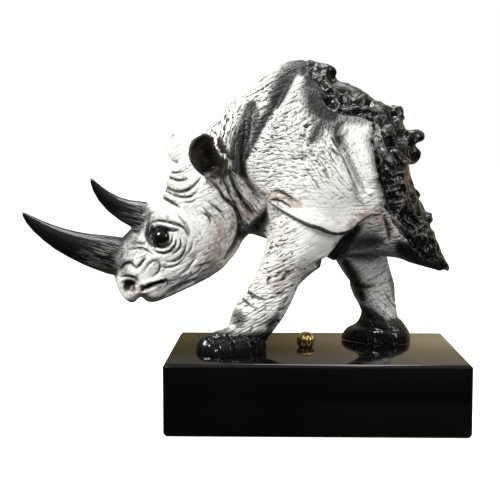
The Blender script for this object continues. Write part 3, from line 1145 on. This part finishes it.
def porcelain():
    """Earthenware under a clear glaze: satin white, black wash in every crease, wet gloss on the black."""
    made, shader = new_material("glazed_porcelain")
    links = made.node_tree.links

    def layer(name):
        return add_node(made, "ShaderNodeAttribute", attribute_name=name).outputs["Fac"]

    def math_of(operation, first, second=0.0, clamp=False):
        node = add_node(made, "ShaderNodeMath", {0: first, 1: second}, operation=operation)
        node.use_clamp = clamp
        return node.outputs["Value"]

    def ranged(value, low, high, to_low=0.0, to_high=1.0):
        settings = {"Value": value, "From Min": low, "From Max": high, "To Min": to_low, "To Max": to_high}
        return add_node(made, "ShaderNodeMapRange", settings, interpolation_type="SMOOTHSTEP").outputs["Result"]

    def blended(amount, below, above):
        node = add_node(made, "ShaderNodeMix", {"Factor": amount}, data_type="RGBA")
        for socket, colour in ((node.inputs[6], below), (node.inputs[7], above)):
            if isinstance(colour, bpy.types.NodeSocket):
                links.new(colour, socket)
            else:
                socket.default_value = colour
        return node.outputs[2]

    place = add_node(made, "ShaderNodeTexCoord").outputs["Object"]

    def grain(millimetres, detail, roughness=0.5):
        settings = {"Vector": place, "Scale": 1000 / millimetres, "Detail": detail, "Roughness": roughness}
        return add_node(made, "ShaderNodeTexNoise", settings).outputs["Fac"]

    def inked(amount):
        """Evens out a layer of ink for the eye, which sees a half-strength layer as nearly white."""
        clear = math_of("SUBTRACT", 1.0, amount, clamp=True)
        return math_of("SUBTRACT", 1.0, math_of("POWER", clear, 2.2))

    cloud = grain(26.0, 3.0)
    speckle = grain(1.5, 2.0, 0.6)
    fine = grain(4.2, 3.0, 0.55)

    # Body colour, with a trace of red-brown rubbed on
    white = blended(ranged(cloud, 0.35, 0.65), linear("EFEDE8"), linear("E4E0D8"))
    tint = math_of("MULTIPLY", layer("tint"), ranged(fine, 0.32, 0.62, 0.15, 1.0))
    colour = blended(math_of("MULTIPLY", inked(tint), 0.78), white, linear("9F7C66"))

    # Wash: dark along the creases, the wrinkles, the finest cracks and every other hollow
    crease = ranged(layer("crease_line"), 0.8, 0.25)
    crease = math_of("MULTIPLY", crease, layer("crease_wash"))
    crease = math_of("MULTIPLY", crease, ranged(fine, 0.3, 0.6, 0.6, 1.0))
    wrinkle = ranged(layer("wrinkle"), -0.6, -1.0)
    wrinkle = math_of("MULTIPLY", wrinkle, math_of("MULTIPLY", layer("wrinkle_wash"), 0.95))
    cracks, folds = 0.0, 0.0
    for way, length, spacing in HATCHES:
        drawn_out = add_node(
            made,
            "ShaderNodeMapping",
            {"Vector": place, "Rotation": (0, -math.radians(way), 0), "Scale": (length, length, spacing)},
            vector_type="TEXTURE",
        ).outputs["Vector"]
        settings = {"Scale": 0.314, "Distortion": 9.5, "Detail": 2.5, "Detail Scale": 2.2}
        row = add_node(
            made, "ShaderNodeTexWave", {"Vector": drawn_out, **settings}, bands_direction="Z"
        ).outputs["Fac"]
        settings = {"Scale": 1.3, "Detail": 1.0, "Roughness": 0.5}
        gap = add_node(made, "ShaderNodeTexNoise", {"Vector": drawn_out, **settings}).outputs["Fac"]
        dash = math_of("MULTIPLY", ranged(row, 0.3, 0.08), ranged(gap, 0.38, 0.56))
        cracks = math_of("ADD", cracks, math_of("MULTIPLY", dash, layer(f"cracks_{way}")))
        folds = math_of("ADD", folds, math_of("MULTIPLY", row, layer(f"cracks_{way}")))
    cracks = math_of("MINIMUM", cracks, 1.0)
    wash = math_of("MAXIMUM", math_of("MAXIMUM", crease, wrinkle), cracks)
    wash = math_of("MULTIPLY", wash, ranged(speckle, 0.25, 0.55, 0.8, 1.0))
    colour = blended(math_of("MULTIPLY", inked(layer("hollow")), 0.6, clamp=True), colour, linear("5A544C"))
    colour = blended(inked(wash), colour, linear("221F1C"))

    # Sprayed black settles first in the hollows of the grain
    sprayed = math_of("ADD", layer("sprayed"), math_of("MULTIPLY", math_of("SUBTRACT", speckle, 0.5), 0.55))
    sprayed = inked(ranged(sprayed, 0.1, 0.95))
    colour = blended(sprayed, colour, linear("101010"))
    colour = blended(layer("cup"), colour, blended(ranged(cloud, 0.4, 0.62), linear("0D0B09"), linear("3B332B")))
    rubbed = math_of("MULTIPLY", ranged(layer("off_ridge"), 0.1, 0.02), ranged(fine, 0.36, 0.62, 0.05, 0.5))
    colour = blended(rubbed, colour, linear("A9A7A2"))

    # The torn edge is wrinkled finely, and its sharpest folds are wiped pale
    crumple_place = add_node(
        made,
        "ShaderNodeMapping",
        {"Vector": place, "Rotation": (0, math.radians(50), 0), "Scale": (0.013, 0.008, 0.0075)},
        vector_type="TEXTURE",
    ).outputs["Vector"]
    settings = {"Vector": crumple_place, "Scale": 1.0, "Detail": 1.5, "Roughness": 0.5, "Distortion": 1.6}
    crumple = add_node(made, "ShaderNodeTexNoise", settings).outputs["Fac"]
    crumple = ranged(math_of("ABSOLUTE", math_of("SUBTRACT", crumple, 0.5)), 0.07, 0.0)
    torn = math_of("LESS_THAN", layer("off_ridge"), 0.99)
    crumple = math_of("MULTIPLY", crumple, torn)
    wiped = math_of("MULTIPLY", math_of("POWER", crumple, 4.0), ranged(fine, 0.45, 0.65, 0.0, 0.2))
    colour = blended(wiped, colour, linear("8F8D89"))

    # The horns keep pale scratches along their roots
    scratch_place = add_node(
        made,
        "ShaderNodeMapping",
        {"Vector": place, "Rotation": (0, math.radians(18), 0), "Scale": (0.02, 0.0022, 0.0011)},
        vector_type="TEXTURE",
    ).outputs["Vector"]
    settings = {"Vector": scratch_place, "Scale": 1.0, "Detail": 4.0, "Roughness": 0.65, "Distortion": 0.5}
    scratch = add_node(made, "ShaderNodeTexNoise", settings)
    scratched = math_of("MULTIPLY", ranged(layer("horn"), 0.05, 0.12), ranged(layer("horn"), 0.5, 0.2))
    scratched = math_of("MULTIPLY", scratched, ranged(scratch.outputs["Fac"], 0.46, 0.7, 0.0, 0.6))
    colour = blended(scratched, colour, linear("A5A29C"))

    links.new(colour, shader.inputs["Base Color"])
    rough = math_of("ADD", ranged(layer("gloss"), 0.3, 1.0, 0.45, 0.18), math_of("MULTIPLY", layer("eye"), -0.1))
    links.new(rough, shader.inputs["Roughness"])
    shader.inputs["Coat Weight"].default_value = 0.1
    shader.inputs["Coat Roughness"].default_value = 0.06

    # Relief too fine for the mesh: the cracks and the glaze's own unevenness
    pits = math_of("MULTIPLY", math_of("MAXIMUM", crease, math_of("MAXIMUM", wrinkle, cracks)), -1.0)
    height = math_of("ADD", pits, math_of("ADD", math_of("MULTIPLY", fine, 0.4), folds))
    height = math_of("ADD", height, math_of("MULTIPLY", crumple, 0.4))
    relief = add_node(made, "ShaderNodeBump", {"Height": height, "Strength": 0.5, "Distance": 0.0007})
    links.new(relief.outputs["Normal"], shader.inputs["Normal"])
    return made


# The figure: put together
# The carved figure is fused once more with its eyeballs, wrinkled, painted, thinned to what its surface
# needs, then its head is turned and it is set on the plinth.
SKIN_VOXEL = 0.36
FIGURE_TRIANGLES = 190000
HEAD_TURN_DEG = 15.0
TURN_AXIS_X = -24.0
TURN_START = -5.0
TURN_END = 22.0


def turned(points):
    """The points with the head and neck turned towards the animal's left."""
    fall = -0.8 * (points[:, 0] + 20) - 0.6 * (points[:, 2] - 60)
    angle = math.radians(HEAD_TURN_DEG) * smoothstep(TURN_START, TURN_END, fall)
    x, y = points[:, 0] - TURN_AXIS_X, points[:, 1]
    moved = points.copy()
    moved[:, 0] = TURN_AXIS_X + x * np.cos(angle) - y * np.sin(angle)
    moved[:, 1] = x * np.sin(angle) + y * np.cos(angle)
    return moved


def carved():
    mesh = form()
    points, normals = read_skin(mesh)
    torn, off_ridge = torn_relief(points)
    lift = carving(points) * off_ears(points) + torn
    points = points + normals * lift[:, None]
    write_skin(mesh, points)
    ridges = KDTree(int((off_ridge < 1).sum()))
    for i in np.nonzero(off_ridge < 1)[0]:
        ridges.insert(points[i], int(i))
    ridges.balance()
    bm = bmesh.new()
    add_balls(bm, EYEBALLS)
    bm.from_mesh(mesh)
    mesh = fused(bm, SKIN_VOXEL, 0)
    points, _ = read_skin(mesh)
    glossy = smoothstep(-0.5, 1.0, crust_depth(points))
    gaps = np.ones(len(points))
    for i in np.nonzero(glossy > 0)[0]:
        gaps[i] = off_ridge[ridges.find(points[i])[1]]
    smooth = levelled(mesh, points, TORN_SMOOTHING)
    write_skin(mesh, points + glossy[:, None] * (smooth - points))
    return mesh, gaps


def make_rhinoceros():
    mesh, off_ridge = carved()
    points, normals = read_skin(mesh)
    wrinkle, depth, wash = hide_wrinkles(points)
    hide = smoothstep(0.0, -1.5, crust_depth(points)) * smoothstep(3.0, 7.0, points[:, 2])
    hide *= 1 - smoothstep(0.1, 0.3, horn_share(points))
    hide *= 0.3 + 0.7 * off_ears(points)
    hide *= 0.4 + 0.6 * smoothstep(0.1, 0.5, np.abs(normals[:, 1]))
    for x, y, z, radius in EYEBALLS:
        distance = np.linalg.norm(points - np.array((x, y, z)), axis=1)
        hide *= smoothstep(radius + 0.1, radius + 1.0, distance)
    groove = 0.3 - smoothstep(WRINKLE_FROM, WRINKLE_TO, wrinkle)
    write_skin(mesh, points + normals * (groove * depth * hide)[:, None])
    mesh.update()
    paint(mesh, wrinkle, wash * hide, hide, off_ridge)
    thin = {"ratio": FIGURE_TRIANGLES / (2 * len(mesh.polygons)), "use_collapse_triangulate": True}
    mesh = evaluated(mesh, ("DECIMATE", thin))
    mesh.validate()
    points, _ = read_skin(mesh)
    write_skin(mesh, turned(points))
    bm = bmesh.new()
    bm.from_mesh(mesh)
    everything = bm.verts[:] + bm.edges[:] + bm.faces[:]
    bmesh.ops.bisect_plane(
        bm, geom=everything, plane_co=(0, 0, 0), plane_no=(0, 0, 1), clear_inner=True, dist=1e-5
    )
    bmesh.ops.holes_fill(bm, edges=[edge for edge in bm.edges if edge.is_boundary], sides=0)
    bmesh.ops.triangulate(bm, faces=bm.faces[:])
    seat = Matrix.Translation((0, FIGURE_Y, PLINTH_TOP + FOOT_GAP)) @ Matrix.Scale(UNIT, 4)
    bmesh.ops.transform(bm, matrix=seat, verts=bm.verts)
    made = finished_object(bm, "porcelain_rhinoceros")
    made.data.materials.append(porcelain())
    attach(made, "root")
    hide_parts("rhinoceros")
    return made


make_rhinoceros()

# The brass stud
# A turned brass ball with upright flutes filed into it, polished and screwed down through a flat foot.
STUD_LOBES = 10
STUD_LOBE_DEPTH = 0.0013
STUD_LOBE_SIDES = 10
STUD_RINGS = 48


def polished_brass():
    """Polished brass: warm yellow metal, darker in the flutes where the polish doesn't reach."""
    made, shader = new_material("polished_brass")
    place = add_node(made, "ShaderNodeTexCoord")
    wear = add_node(
        made, "ShaderNodeTexNoise", {"Vector": place.outputs["Object"], "Scale": 90.0, "Detail": 1.0}
    )
    tone = add_node(
        made,
        "ShaderNodeMix",
        {"Factor": wear.outputs["Fac"], "A": linear("F0D898"), "B": linear("DCBC74")},
        data_type="RGBA",
    )
    gloss = add_node(
        made,
        "ShaderNodeMapRange",
        {"Value": wear.outputs["Fac"], "From Min": 0.3, "From Max": 0.7, "To Min": 0.2, "To Max": 0.24},
    )
    made.node_tree.links.new(tone.outputs["Result"], shader.inputs["Base Color"])
    made.node_tree.links.new(gloss.outputs["Result"], shader.inputs["Roughness"])
    shader.inputs["Metallic"].default_value = 1.0
    return made


def make_stud():
    low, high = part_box("brass_stud")
    radius = (high.x - low.x) / 2
    centre = Vector(((low.x + high.x) / 2, (low.y + high.y) / 2, high.z - radius))
    bm = bmesh.new()
    turns = STUD_LOBES * STUD_LOBE_SIDES
    bmesh.ops.create_uvsphere(bm, u_segments=turns, v_segments=STUD_RINGS, radius=radius)
    for vert in bm.verts:
        flat = math.hypot(vert.co.x, vert.co.y)
        if flat > 0:
            groove = (1 - abs(math.sin(math.atan2(vert.co.y, vert.co.x) * STUD_LOBES / 2))) ** 2
            share = 1 - STUD_LOBE_DEPTH * groove / radius
            vert.co.x *= share
            vert.co.y *= share
    bmesh.ops.translate(bm, vec=centre, verts=bm.verts)
    everything = bm.verts[:] + bm.edges[:] + bm.faces[:]
    bmesh.ops.bisect_plane(bm, geom=everything, plane_co=low, plane_no=(0, 0, 1), clear_inner=True, dist=1e-7)
    bmesh.ops.holes_fill(bm, edges=[edge for edge in bm.edges if edge.is_boundary], sides=0)
    made = finished_object(bm, "fluted_brass_stud")
    made.data.materials.append(polished_brass())
    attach(made, "root")
    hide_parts("brass_stud")
    return made


make_stud()

# Floor, light and camera
# A pale floor in a white room, lit by large soft lamps. The long lens looks slightly down on the left side.
FLOOR_SIZE = 30.0
FLOOR_DROP = 0.0004
CAMERA_PLACE = (-0.03984, -1.1295, 0.26706)
CAMERA_TILT_DEG = 4.674
CAMERA_SWING_DEG = 1.407
SENSOR_MM = 36.0
LENS_MM = 77.77


def make_floor():
    bm = bmesh.new()
    bmesh.ops.create_grid(bm, x_segments=8, y_segments=8, size=FLOOR_SIZE / 2)
    bmesh.ops.translate(bm, vec=(0, 0, -FLOOR_DROP), verts=bm.verts)
    made = finished_object(bm, "pale_floor")
    material, shader = new_material("pale_floor")
    shader.inputs["Base Color"].default_value = linear("F4F4F4")
    shader.inputs["Roughness"].default_value = 0.9
    shader.inputs["Emission Color"].default_value = (1, 1, 1, 1)
    shader.inputs["Emission Strength"].default_value = 0.9
    made.data.materials.append(material)
    made.visible_glossy = False
    made.visible_diffuse = False


def soft_lamp(name, place, target, size, power, colour=(1, 1, 1)):
    lamp = bpy.data.lights.new(name, "AREA")
    lamp.shape = "RECTANGLE"
    lamp.size, lamp.size_y = size
    lamp.energy = power
    lamp.color = colour
    made = bpy.data.objects.new(name, lamp)
    made.location = place
    made.rotation_mode = "QUATERNION"
    made.rotation_quaternion = (Vector(target) - Vector(place)).to_track_quat("-Z", "Y")
    bpy.context.scene.collection.objects.link(made)
    return made


def make_room():
    world = bpy.data.worlds.new("white_room")
    world.use_nodes = True
    tree = world.node_tree

    def shade(colour, strength):
        node = tree.nodes.new("ShaderNodeBackground")
        node.inputs["Color"].default_value = linear(colour)
        node.inputs["Strength"].default_value = strength
        return node.outputs["Background"]

    def choose(ray, other, chosen):
        node = tree.nodes.new("ShaderNodeMixShader")
        tree.links.new(path.outputs[ray], node.inputs["Fac"])
        tree.links.new(other, node.inputs[1])
        tree.links.new(chosen, node.inputs[2])
        return node.outputs["Shader"]

    path = tree.nodes.new("ShaderNodeLightPath")
    way = tree.nodes.new("ShaderNodeTexCoord")
    split = tree.nodes.new("ShaderNodeSeparateXYZ")
    slope = tree.nodes.new("ShaderNodeMapRange")
    wall = tree.nodes.new("ShaderNodeMix")
    wall.data_type = "RGBA"
    wall.inputs[6].default_value = linear("695E41")
    wall.inputs[7].default_value = linear("B5A988")
    slope.inputs["From Min"].default_value = -0.02
    slope.inputs["From Max"].default_value = 0.17
    tree.links.new(way.outputs["Generated"], split.inputs["Vector"])
    tree.links.new(split.outputs["X"], slope.inputs["Value"])
    tree.links.new(slope.outputs["Result"], wall.inputs["Factor"])
    mirrored = tree.nodes.new("ShaderNodeBackground")
    ceiling = tree.nodes.new("ShaderNodeMix")
    ceiling.data_type = "RGBA"
    ceiling.inputs[7].default_value = linear("D6D8D8")
    tree.links.new(wall.outputs[2], ceiling.inputs[6])
    height = tree.nodes.new("ShaderNodeMapRange")
    height.inputs["From Min"].default_value = 0.22
    height.inputs["From Max"].default_value = 0.9
    tree.links.new(split.outputs["Z"], height.inputs["Value"])
    tree.links.new(height.outputs["Result"], ceiling.inputs["Factor"])
    tree.links.new(ceiling.outputs[2], mirrored.inputs["Color"])
    behind = tree.nodes.new("ShaderNodeMapRange")
    behind.inputs["From Min"].default_value = 0.0
    behind.inputs["From Max"].default_value = 0.7
    behind.inputs["To Min"].default_value = 0.0
    behind.inputs["To Max"].default_value = 1.0
    tree.links.new(split.outputs["Y"], behind.inputs["Value"])
    lit = tree.nodes.new("ShaderNodeMapRange")
    lit.inputs["From Min"].default_value = -0.12
    lit.inputs["From Max"].default_value = 0.6
    lit.inputs["To Max"].default_value = 0.55
    tree.links.new(split.outputs["Z"], lit.inputs["Value"])
    table = tree.nodes.new("ShaderNodeMapRange")
    table.inputs["From Min"].default_value = -0.222
    table.inputs["From Max"].default_value = -0.232
    table.inputs["To Max"].default_value = 0.08
    tree.links.new(split.outputs["Z"], table.inputs["Value"])
    brighter = tree.nodes.new("ShaderNodeMath")
    brighter.operation = "MAXIMUM"
    tree.links.new(behind.outputs["Result"], brighter.inputs[0])
    tree.links.new(lit.outputs["Result"], brighter.inputs[1])
    brightest = tree.nodes.new("ShaderNodeMath")
    brightest.operation = "MAXIMUM"
    tree.links.new(brighter.outputs["Value"], brightest.inputs[0])
    tree.links.new(table.outputs["Result"], brightest.inputs[1])
    tree.links.new(brightest.outputs["Value"], mirrored.inputs["Strength"])
    dim = choose("Is Glossy Ray", shade("E8ECF0", 0.56), mirrored.outputs["Background"])
    seen = choose("Is Camera Ray", dim, shade("FFFFFF", 1.0))
    tree.links.new(seen, tree.nodes["World Output"].inputs["Surface"])
    bpy.context.scene.world = world
    middle = (-0.04, 0, 0.22)
    soft_lamp("key_lamp", (-1.2, -1.1, 1.5), middle, (0.8, 0.8), 52.0)
    soft_lamp("top_lamp", (0.1, 0.2, 1.7), middle, (1.0, 0.8), 16.0)
    soft_lamp("side_lamp", (1.4, -0.9, 0.9), middle, (0.4, 0.9), 7.0)


def make_camera():
    lens = bpy.data.cameras.new("camera")
    lens.sensor_width = SENSOR_MM
    lens.lens = LENS_MM
    lens.clip_start = 0.05
    made = bpy.data.objects.new("camera", lens)
    made.location = CAMERA_PLACE
    made.rotation_euler = Euler((math.radians(90 - CAMERA_TILT_DEG), 0, math.radians(CAMERA_SWING_DEG)))
    bpy.context.scene.collection.objects.link(made)
    bpy.context.scene.camera = made


make_floor()
make_room()
make_camera()
bpy.context.scene.view_settings.view_transform = "Standard"
